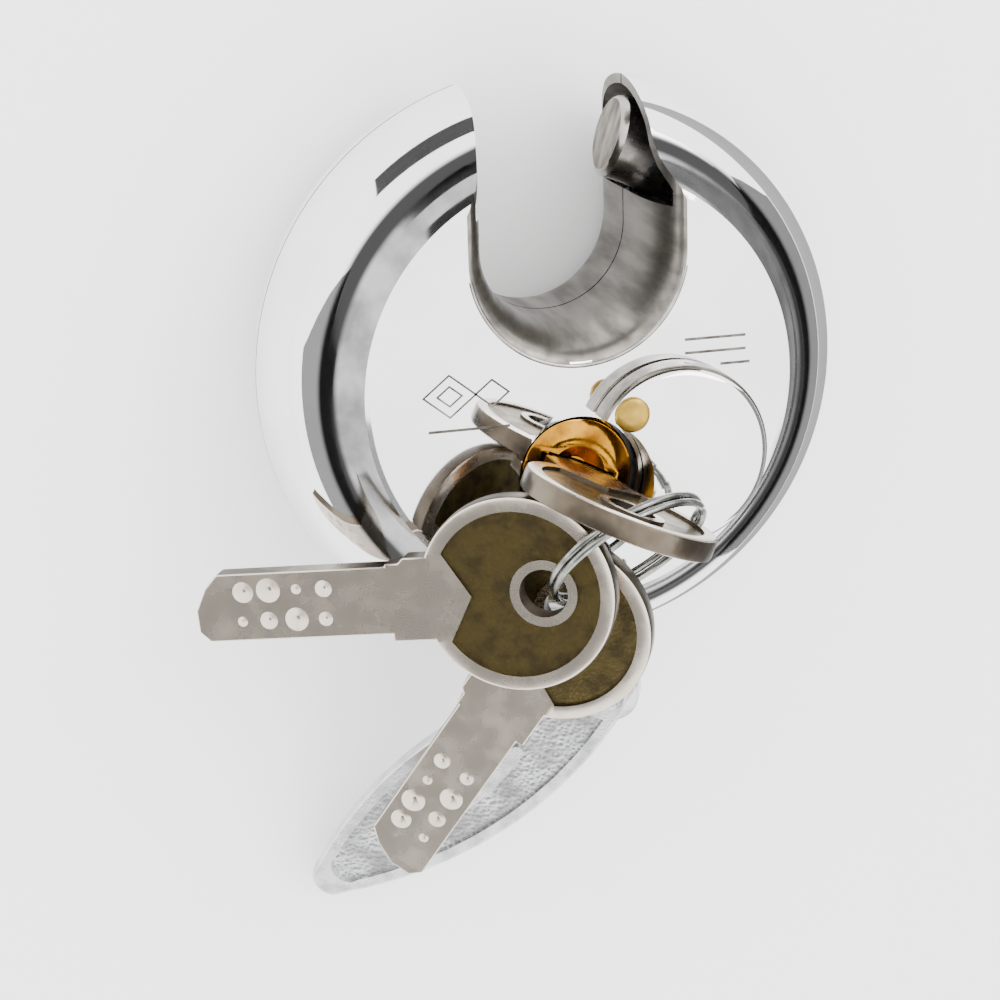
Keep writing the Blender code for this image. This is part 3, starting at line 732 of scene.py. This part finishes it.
    def lip(self) -> bpy.types.Object:
        """The rolled bright edge where the throat meets the front plate."""
        radius = self.throat + self.flare
        centre = (0.0, self.throat_y - 0.25 * self.flare)
        top = self.seam + self.front
        run = Bench.arc(centre, radius, 190, 350, 70)
        return Bench.wire("throat_lip", [(x, y, top - 0.20) for x, y in run], 0.30)

    def marks(self) -> bpy.types.Object:
        """A plain device of lozenges and rules: thin dark inlays that stand just proud of the front plate."""
        top = self.seam + self.front
        marks = []
        for number, (x, y, size) in enumerate(((-15.6, 0.4, 2.6), (-15.6, 0.4, 1.3), (-10.6, 0.4, 1.7))):
            outer = [(x + size * 1.25, y), (x, y + size), (x - size * 1.25, y), (x, y - size)]
            small = size - self.line
            inner = [(x + small * 1.25, y), (x, y + small), (x - small * 1.25, y), (x, y - small)]
            mark = Bench.plate(f"lozenge_{number}", outer, top - self.inlay_depth, top + self.inlay_proud)
            marks.append(Bench.combine(mark, Bench.plate("hole", inner, top - 1, top + 1)))
        rules = ((-13.4, -3.6, 9.6), (16.2, 4.6, 7.4), (16.2, 3.0, 7.4), (18.6, 1.4, 3.6))
        for number, (x, y, long) in enumerate(rules):
            half = long / 2
            outline = [(x - half, y - 0.16), (x + half, y - 0.16), (x + half, y + 0.16), (x - half, y + 0.16)]
            marks.append(Bench.plate(f"rule_{number}", outline, top - self.inlay_depth, top + self.inlay_proud))
        Bench.clear()
        for mark in marks:
            mark.select_set(True)
        bpy.context.view_layer.objects.active = marks[0]
        bpy.ops.object.join()
        piece = bpy.context.object
        piece.name = "front_marks"
        return piece

    def build(self) -> None:
        """Make and dress the case."""
        front = self.shell("front_skin", self.front, 1)
        top = self.seam + self.front
        Bench.combine(front, Bench.rod("keyhole", self.keyhole, top - 3, top + 2, self.plug))
        Bench.combine(front, Bench.rod("rivet_hole", self.rivet_hole, top - 3, top + 2, self.rivet))
        Bench.tidy(front, 32.0)
        self.paint(front, self.front, 1)
        Dresser.assign(front, "case", "case_steel", "front_shell")
        rear = Bench.tidy(self.shell("rear_skin", self.rear, -1), 32.0)
        self.paint(rear, self.rear, -1)
        Dresser.assign(rear, "case", "case_steel", "rear_shell")
        Dresser.assign(Dresser.finish(self.lip(), Finishes.EDGE), "case", "case_steel")
        Dresser.assign(Dresser.finish(self.marks(), Finishes.MARK), "case", "case_steel")


# ---------------------------------------------------------------- shackle, plug and cover


@dataclass
class Shackle:
    """The curved bar with its chamfered ends.

    Args:
        radius: the bar's curve.
        rod: the bar's own radius.
        first: the angle of the free end.
        last: the angle of the end in the case.
        seam: the height of the bar's middle.
        dowel_angle: where along the bar its dowel stands.
        dowel_hole: the radius of the dowel's hole.
    """

    radius: float = 27.8
    rod: float = 5.0
    first: float = 73.0
    last: float = -32.0
    seam: float = 13.0
    dowel_angle: float = -27.0
    dowel_hole: float = 1.6

    def build(self) -> None:
        """Make and dress the shackle."""
        stops = [(self.first, self.rod - 0.75), (self.first - 0.5, self.rod - 0.35), (self.first - 1.5, self.rod)]
        steps = 84
        run = self.last + 1.5 - (self.first - 1.5)
        stops += [(self.first - 1.5 + run * k / steps, self.rod) for k in range(1, steps + 1)]
        stops += [(self.last + 0.5, self.rod - 0.35), (self.last, self.rod - 0.75)]
        rings = []
        for angle, size in stops:
            a = math.radians(angle)
            ring = []
            for k in range(56):
                b = 2 * math.pi * k / 56
                reach = self.radius + size * math.cos(b)
                ring.append((reach * math.cos(a), reach * math.sin(a), self.seam + size * math.sin(b)))
            rings.append(ring)
        bar = Bench.loft("shackle_bar", rings)
        a = math.radians(self.dowel_angle)
        spot = (self.radius * math.cos(a), self.radius * math.sin(a))
        Bench.combine(bar, Bench.rod("dowel_hole", self.dowel_hole, 5.0, 11.5, spot, 32))
        Bench.tidy(bar, 28.0)
        Dresser.finish(bar, Finishes.ROD, Finishes.ROD_END, Finishes.EDGE)
        for face in bar.data.polygons:
            turn = math.degrees(math.atan2(face.center.y, face.center.x))
            if turn > self.first - 0.1 or turn < self.last + 0.1:
                face.material_index = 1
            elif turn > self.first - 1.5 or turn < self.last + 1.5:
                face.material_index = 2
        Dresser.assign(bar, "shackle", "shackle_steel", "shackle")


@dataclass
class Plug:
    """The brass key plug.

    Args:
        centre: its axis.
        top: the height of its face.
        radius: the barrel's radius.
        head: the head's radius.
        slot_angle: the way the keyway runs, in degrees.
    """

    centre: Flat = (-0.5, -10.5)
    top: float = 27.0
    radius: float = 5.2
    head: float = 6.7
    slot_angle: float = -24.0
    slot: Flat = (8.5, 3.1)

    def build(self) -> None:
        """Make and dress the plug, with its keyway and countersink."""
        tail = self.radius - 0.3
        profile = [(0.0, 3.6), (tail, 3.6), (tail, 7.9), (self.radius, 7.9), (self.radius, 24.3), (self.head, 24.3),
                   (self.head, self.top - 0.35), (self.head - 0.12, self.top - 0.1), (self.head - 0.35, self.top),
                   (0.0, self.top)]
        plug = Bench.lathe("key_plug", profile, self.centre, 96)
        a = math.radians(self.slot_angle)
        along, across = Vector((math.cos(a), math.sin(a))), Vector((-math.sin(a), math.cos(a)))
        corners = []
        for u, v in ((-1, -1), (1, -1), (1, 1), (-1, 1)):
            spot = Vector(self.centre) + along * (u * self.slot[0] / 2) + across * (v * self.slot[1] / 2)
            corners.append((spot.x, spot.y))
        Bench.combine(plug, Bench.plate("keyway", corners, 4.4, self.top + 2))
        sink = [(0.0, self.top - 1.6), (1.8, self.top - 1.6), (4.4, self.top + 1), (0.0, self.top + 1)]
        Bench.combine(plug, Bench.lathe("sink", sink, self.centre, 72))
        Bench.tidy(plug, 25.0)
        Dresser.finish(plug, Finishes.BRASS)
        Dresser.assign(plug, "plug", "brass", "plug")


@dataclass
class Cover:
    """The raised keyhole cover and the rivet it turns on.

    Args:
        centre: the disc's centre.
        radius: the disc's radius.
        bottom: the height of its underside.
        height: its thickness.
        edge: the radius of its rounded upper edge.
        bite: the radius of the bite about the keyhole.
        rivet: the rivet's axis.
    """

    centre: Flat = (10.7, -8.1)
    radius: float = 10.6
    bottom: float = 28.3
    height: float = 4.1
    edge: float = 1.3
    bite: float = 7.7
    keyhole: Flat = (-0.5, -10.5)
    rivet: Flat = (4.5, -2.4)

    def build(self) -> None:
        """Make and dress the cover and its rivet."""
        top = self.bottom + self.height
        profile = [(0.0, self.bottom), (self.radius - 0.2, self.bottom), (self.radius, self.bottom + 0.2)]
        for k in range(9):
            a = math.radians(90 * k / 8)
            profile.append((self.radius - self.edge * (1 - math.cos(a)), top - self.edge * (1 - math.sin(a))))
        profile.append((0.0, top))
        cover = Bench.lathe("cover_disc", profile, self.centre, 128)
        Bench.combine(cover, Bench.rod("bite", self.bite, self.bottom - 1, top + 1, self.keyhole, 128))
        Bench.combine(cover, Bench.rod("rivet_hole", 1.4, self.bottom - 1, top + 1, self.rivet, 48))
        Bench.tidy(cover, 32.0)
        Dresser.finish(cover, Finishes.COVER, Finishes.COVER_EDGE)
        for face in cover.data.polygons:
            if face.normal.z < 0.75:
                face.material_index = 1
        Dresser.assign(cover, "keyhole_cover", "case_steel", "keyhole_cover")
        seat = top + 0.2
        head = [(0.0, 25.6), (1.1, 25.6), (1.1, seat), (2.0, seat), (2.05, seat + 0.08), (2.05, seat + 0.45),
                (1.9, seat + 0.68), (1.6, seat + 0.8), (0.9, seat + 0.84), (0.0, seat + 0.85)]
        rivet = Dresser.finish(Bench.lathe("rivet_head", head, self.rivet, 64), Finishes.PALE_BRASS)
        Dresser.assign(rivet, "case", "brass", "cover_rivet")


# ---------------------------------------------------------------- keys


@dataclass(frozen=True)
class Lie:
    """Where a key or the tag lies.

    Args:
        centre: the piece's own origin, in millimetres.
        direction: the way its length runs.
        up: the way its upper face looks, roughly.
    """

    centre: Point
    direction: Point
    up: Point

    def matrix(self) -> Matrix:
        """The placement as a matrix, in metres."""
        x = Vector(self.direction).normalized()
        z = Vector(self.up)
        z = (z - x * z.dot(x)).normalized()
        place = Matrix((x, z.cross(x), z)).transposed().to_4x4()
        place.translation = Vector(self.centre) * MM
        return place


@dataclass
class Keys:
    """Three dimple keys cut to one pattern: one in the plug and two loose.

    Args:
        bow: the bow's radius.
        thick: the blank's thickness.
        rim: the width of the bow's raised rim.
        recess: how deep the bow's ground lies.
        hole_back: how far the ring hole lies behind the bow's middle.
        hole: the hole's radius.
        boss: the radius of the boss round the hole.
        neck: the neck's width.
        shoulder: where the shoulder stands.
        blade: the blade's width.
        tip: where the blade ends.
    """

    bow: float = 11.4
    thick: float = 2.6
    rim: float = 1.7
    recess: float = 0.4
    hole_back: float = 3.2
    hole: float = 2.8
    boss: float = 3.9
    neck: float = 9.8
    shoulder: float = 15.0
    blade: float = 8.0
    tip: float = 38.4
    dimples: tuple[Point, ...] = (
        (32.4, -1.8, 1.25), (29.3, -1.9, 1.45), (25.9, -1.9, 0.6), (22.6, -1.8, 1.0),
        (32.9, 1.7, 0.6), (29.7, 1.7, 1.05), (26.3, 1.7, 1.4), (22.8, 1.8, 0.85),
    )
    places: dict[str, Lie] = field(default_factory=lambda: {
        "inserted_key": Lie((-0.5, -10.5, 43.2), (0.0, 0.0, -1.0),
                            (math.sin(math.radians(24)), math.cos(math.radians(24)), 0.0)),
        "loose_key_a": Lie((-10.69, -20.37, 37.57), (-0.86, -0.10, -0.49), (-0.30, 0.02, 0.95)),
        "loose_key_b": Lie((-5.31, -26.32, 33.52), (-0.45, -0.82, -0.35), (-0.45, -0.08, 0.89)),
    })

    def blank(self) -> bpy.types.Object:
        """The bow, neck, shoulders and blade."""
        half = self.thick / 2
        n, w = self.neck / 2, self.blade / 2
        bow = [(0.0, -half), (self.bow - 0.35, -half), (self.bow - 0.1, -half + 0.12), (self.bow, -half + 0.4),
               (self.bow, half - 0.4), (self.bow - 0.1, half - 0.12), (self.bow - 0.35, half), (0.0, half)]
        key = Bench.lathe("key_blank", bow, steps=112)
        s, t = self.shoulder, self.tip
        outline = [(6.0, -n), (s - 2.2, -n), (s - 1.6, -n + 0.6), (s, -n + 0.6), (s, -w), (t - 3.0, -w)]
        outline += [(t - 1.4, -w + 1.6), (t, -w + 4.2), (t, w - 1.2), (t - 1.2, w), (s, w), (s, n), (6.0, n)]
        blade = Bench.plate("blade", outline, -half, half)
        Bench.soften(blade, 0.14, 40.0, 1)
        return Bench.combine(key, blade, "UNION")

    def pockets(self, key: bpy.types.Object) -> None:
        """Sink the bow's ground on both faces, leaving the boss and the neck standing."""
        half = self.thick / 2
        for side in (1, -1):
            floor, outside = side * (half - self.recess), side * (half + 1)
            low, high = min(floor, outside), max(floor, outside)
            pocket = Bench.rod("pocket", self.bow - self.rim, low, high, steps=96)
            Bench.combine(pocket, Bench.rod("boss", self.boss, low - 1, high + 1, (-self.hole_back, 0.0), 72))
            bar = [(5.2, 0.0), (9.0, -6.6), (14.0, -8.0), (14.0, 8.0), (9.0, 6.6)]
            Bench.combine(pocket, Bench.plate("neck_bar", bar, low - 1, high + 1))
            Bench.combine(key, pocket)
        Bench.combine(key, Bench.rod("hole", self.hole, -half - 1, half + 1, (-self.hole_back, 0.0), 72))

    def drill(self, key: bpy.types.Object) -> None:
        """Cut both faces' conical dimples."""
        half = self.thick / 2
        for side in (1, -1):
            for x, y, radius in self.dimples:
                depth = 0.55 * radius
                cone = [(0.0, side * (half - depth)), (radius * 0.25, side * (half - depth * 0.92)),
                        (radius, side * half), (radius + 0.4, side * (half + 0.5)), (0.0, side * (half + 0.5))]
                Bench.combine(key, Bench.lathe("cone", cone, (x, side * y), 32))

    def dress(self, key: bpy.types.Object) -> None:
        """Nickel faces, darker milled edges and olive ground in the bow."""
        Dresser.finish(key, Finishes.NICKEL, Finishes.NICKEL_EDGE, Finishes.OLIVE)
        level = self.thick / 2 - self.recess
        for face in key.data.polygons:
            middle = face.center / MM
            flat = abs(face.normal.z) > 0.9
            if flat and abs(abs(middle.z) - level) < 0.05 and math.hypot(middle.x, middle.y) < self.bow - 1.0:
                face.material_index = 2
            elif abs(face.normal.z) < 0.35:
                face.material_index = 1

    def build(self) -> None:
        """Make one key, then place it and its copies."""
        key = self.blank()
        self.pockets(key)
        self.drill(key)
        Bench.tidy(key, 30.0)
        self.dress(key)
        key.name = "key_pattern"
        for name, lie in self.places.items():
            Bench.only(key)
            bpy.ops.object.duplicate(linked=False)
            copy = bpy.context.object
            copy.name = f"{name}_fine"
            copy.data.name = copy.name
            copy.data.transform(lie.matrix())
            Dresser.assign(copy, name, "key_nickel", name)
        bpy.data.objects.remove(key)


# ---------------------------------------------------------------- ring, link and tag


@dataclass
class Bunch:
    """The split ring, the tag's link and the cast tag.

    Args:
        ring: the split ring's radius.
        wire: the wire's radius.
        pitch: half the distance between the two coils.
        link: half the link's length and half its width.
        tag: the tag's length, width and thickness.
    """

    ring: float = 9.6
    wire: float = 0.44
    pitch: float = 0.47
    link: Flat = (10.15, 3.15)
    tag: Point = (59.0, 15.0, 2.6)
    tag_rim: float = 1.5
    tag_recess: float = 0.5
    tag_end: float = 1.95
    hole_at: float = 7.0
    hole: float = 2.6
    ring_lie: Lie = Lie((1.43, -16.1, 39.91), (0.91, 0.41, 0.0), (-0.31, 0.69, -0.66))
    link_lie: Lie = Lie((3.15, -29.39, 29.94), (0.10, -0.91, -0.40), (-0.94, 0.05, -0.34))
    tag_lie: Lie = Lie((7.78, -33.24, 28.61), (-0.64, -0.61, -0.46), (-0.39, -0.16, 0.91))

    def coils(self, name: str, half_long: float, half_wide: float, steps: int) -> bpy.types.Object:
        """Two close coils of wire round an oval, with a step from one to the other.

        Args:
            name: the piece's name.
            half_long: half the oval's length to the wire's middle.
            half_wide: half its width.
            steps: points to each end's half turn.

        Returns:
            The piece about its own origin.
        """
        oval = [(half_long - half_wide + x, y) for x, y in Bench.arc((0, 0), half_wide, -90, 90, steps)]
        oval += [(half_wide - half_long + x, y) for x, y in Bench.arc((0, 0), half_wide, 90, 270, steps)]
        if half_long == half_wide:
            oval = Bench.arc((0, 0), half_wide, 0, 360, 2 * steps)[:-1]
        count = len(oval)
        points = []
        for k in range(2 * count - 1):
            part = min(max((k - count + 5) / 10, 0.0), 1.0)
            points.append((*oval[k % count], self.pitch * (2 * part - 1)))
        return Bench.wire(name, points, self.wire)

    def tag_outline(self, inset: float, steps: int = 56) -> list[Flat]:
        """The tag's oval with its narrow rounded ends, inset by a distance."""
        half = self.tag[1] / 2
        radius = (self.tag[0] ** 2 / 4 + half ** 2) / (2 * half)
        drop = radius - half
        spread = math.degrees(math.acos(drop / (radius - inset))) - 5
        upper = Bench.arc((self.tag[0] / 2, -drop), radius - inset, 90 + spread, 90 - spread, steps)
        lower = [(x, -y) for x, y in reversed(upper)]
        (far, wide), (near, _) = upper[-1], upper[0]
        bulge = Bench.arc((0.0, 0.0), 1.0, 90, -90, 10)[1:-1]
        right = [(far + self.tag_end * x, wide * y) for x, y in bulge]
        left = [(near - self.tag_end * x, -wide * y) for x, y in bulge]
        return upper + right + lower + left

    def cast_tag(self) -> bpy.types.Object:
        """The cast tag: a raised rim, a sunk ground, and a boss and a leaf that stand up from the ground."""
        half = self.tag[2] / 2
        plate = Bench.plate("cast_tag", self.tag_outline(0.0), -half, half)
        Bench.soften(plate, 0.35, 50.0, 3)
        Bench.combine(plate, Bench.plate("ground", self.tag_outline(self.tag_rim), half - self.tag_recess, half + 1))
        spot = (self.hole_at, 0.0)
        Bench.combine(plate, Bench.rod("boss", self.hole + 1.3, -half + 0.2, half - 0.02, spot, 64), "UNION")
        leaf = []
        for x, y in self.tag_outline(0.0, 28):
            leaf.append((32.0 + (x - self.tag[0] / 2) * 0.42, y * 0.34))
        Bench.combine(plate, Bench.plate("leaf", leaf, half - 0.8, half - 0.15), "UNION")
        Bench.combine(plate, Bench.rod("hole", self.hole, -half - 1, half + 1, spot, 64))
        Bench.tidy(plate, 32.0)
        Dresser.finish(plate, Finishes.TAG_RIM, Finishes.TAG_GROUND)
        for face in plate.data.polygons:
            middle = face.center / MM
            if face.normal.z > 0.9 and abs(middle.z - (half - self.tag_recess)) < 0.05:
                face.material_index = 1
        return plate

    def build(self) -> None:
        """Make and dress the ring, the link and the tag."""
        ring = self.coils("split_ring", self.ring, self.ring, 60)
        ring.data.transform(self.ring_lie.matrix())
        Dresser.assign(Dresser.finish(ring, Finishes.WIRE), "key_ring", "spring_steel", "key_ring")
        link = self.coils("oval_link", *self.link, 30)
        link.data.transform(self.link_lie.matrix())
        Dresser.assign(Dresser.finish(link, Finishes.WIRE), "tag_link", "spring_steel", "tag_link")
        tag = self.cast_tag()
        tag.data.transform(self.tag_lie.matrix())
        Dresser.assign(tag, "key_tag", "tag_alloy", "key_tag")


# ---------------------------------------------------------------- studio


@dataclass(frozen=True)
class Card:
    """A plain card that only reflections see.

    Args:
        name: its name.
        place: where it stands, in metres.
        size: its width and height, in metres.
        shade: its grey.
    """

    name: str
    place: Point
    size: Flat
    shade: float
    target: Point = (0.0, 0.0, 0.02)


@dataclass
class Studio:
    """The floor, the lights, the cards and the camera.

    Args:
        lens: the camera's focal length in millimetres.
        distance: the camera's distance from the case's middle.
        middle: the middle of the case at its seam.
    """

    lens: float = 106.92
    distance: float = 0.3544
    middle: Point = (0.0, 0.0, 0.013)
    azimuth: float = -15.85
    elevation: float = 13.32
    roll: float = -1.34
    aim: Flat = (0.015219, 0.047172)
    cards: tuple[Card, ...] = (
        Card("card_keys", (-0.32, -0.16, 0.35), (0.50, 0.44), 0.13, (-0.02, -0.03, 0.04)),
        Card("card_right", (0.42, -0.10, 0.15), (0.60, 0.34), 0.09),
        Card("card_floor", (0.19, -0.04, 0.0004), (0.28, 0.40), 0.16, (0.19, -0.04, 1.0)),
        Card("card_far", (-0.02, 0.45, 0.12), (0.70, 0.22), 0.02),
    )

    def camera(self) -> None:
        """Aim the camera so that the case's middle stands off the frame's centre by the aim."""
        az, el, roll = (math.radians(a) for a in (self.azimuth, self.elevation, self.roll))
        towards = Vector((math.sin(az) * math.cos(el), math.sin(el), math.cos(az) * math.cos(el)))
        side = Vector((math.cos(az), 0.0, -math.sin(az)))
        rise = towards.cross(side)
        right = side * math.cos(roll) + rise * math.sin(roll)
        up = rise * math.cos(roll) - side * math.sin(roll)
        turn = Matrix((right, up, towards)).transposed()
        shown = Vector((self.aim[0], self.aim[1], -1.0)).normalized()
        offset = shown.rotation_difference(Vector((0.0, 0.0, -1.0))).to_matrix()
        data = bpy.data.cameras.new("view")
        data.lens = self.lens
        data.sensor_width = 36.0
        data.clip_start = 0.01
        camera = bpy.data.objects.new("view", data)
        camera.matrix_world = (turn @ offset).to_4x4()
        camera.location = Vector(self.middle) + towards * self.distance
        bpy.context.scene.collection.objects.link(camera)
        bpy.context.scene.camera = camera

    def stage_finish(self, name: str, shade: float) -> bpy.types.Material:
        """A plain matt grey for the floor and the cards."""
        material = bpy.data.materials.new(name)
        material.use_nodes = True
        shader = material.node_tree.nodes["Principled BSDF"]
        shader.inputs["Base Color"].default_value = (shade, shade, shade, 1.0)
        shader.inputs["Roughness"].default_value = 0.9
        return material

    def floor(self) -> None:
        """A wide pale floor just under the lock."""
        Bench.clear()
        bpy.ops.mesh.primitive_plane_add(size=6.0, location=(0.0, 0.0, -0.0004))
        floor = bpy.context.object
        floor.name = "floor"
        floor.data.materials.append(self.stage_finish("floor_paper", 0.93))

    def put_cards(self) -> None:
        """Stand the cards round the lock, where only reflections see them."""
        for card in self.cards:
            Bench.clear()
            bpy.ops.mesh.primitive_plane_add(size=1.0, location=card.place)
            plane = bpy.context.object
            plane.name = card.name
            plane.scale = (card.size[0], card.size[1], 1.0)
            facing = Vector(card.target) - Vector(card.place)
            plane.rotation_euler = facing.to_track_quat("Z", "Y").to_euler()
            plane.data.materials.append(self.stage_finish(f"{card.name}_paper", card.shade))
            plane.visible_camera = False
            plane.visible_diffuse = False
            plane.visible_shadow = False

    def lamp(self, name: str, place: Point, size: float, power: float) -> None:
        """A square area light aimed at the lock."""
        data = bpy.data.lights.new(name, "AREA")
        data.size = size
        data.energy = power
        lamp = bpy.data.objects.new(name, data)
        lamp.location = place
        lamp.rotation_euler = (-Vector(place)).to_track_quat("-Z", "Y").to_euler()
        bpy.context.scene.collection.objects.link(lamp)

    def build(self) -> None:
        """Set the whole studio up."""
        self.camera()
        self.floor()
        self.put_cards()
        world = bpy.data.worlds.new("soft_room")
        world.use_nodes = True
        world.node_tree.nodes["Background"].inputs["Color"].default_value = (1.0, 1.0, 1.0, 1.0)
        world.node_tree.nodes["Background"].inputs["Strength"].default_value = 3.6
        bpy.context.scene.world = world
        self.lamp("key_light", (0.5, 0.5, 0.9), 0.6, 5.0)


def dress_inner(frame: dict) -> None:
    """Give every CAD node that keeps its mesh a finish of its own.
    """
    for name, node in frame["nodes"].items():
        metal = Finishes.for_node(name)
        node.data.materials.clear()
        node.data.materials.append(metal.make())
        LOG.info("%s keeps its CAD shape in %s", name, metal.name)


def main() -> None:
    """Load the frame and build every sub-assembly."""
    logging.basicConfig(level=logging.INFO, format="%(message)s")
    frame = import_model()
    dress_inner(frame)
    Studio().build()
    Case().build()
    Shackle().build()
    Plug().build()
    Cover().build()
    Keys().build()
    Bunch().build()
    Bench.clear()


if __name__ == "__main__":
    main()
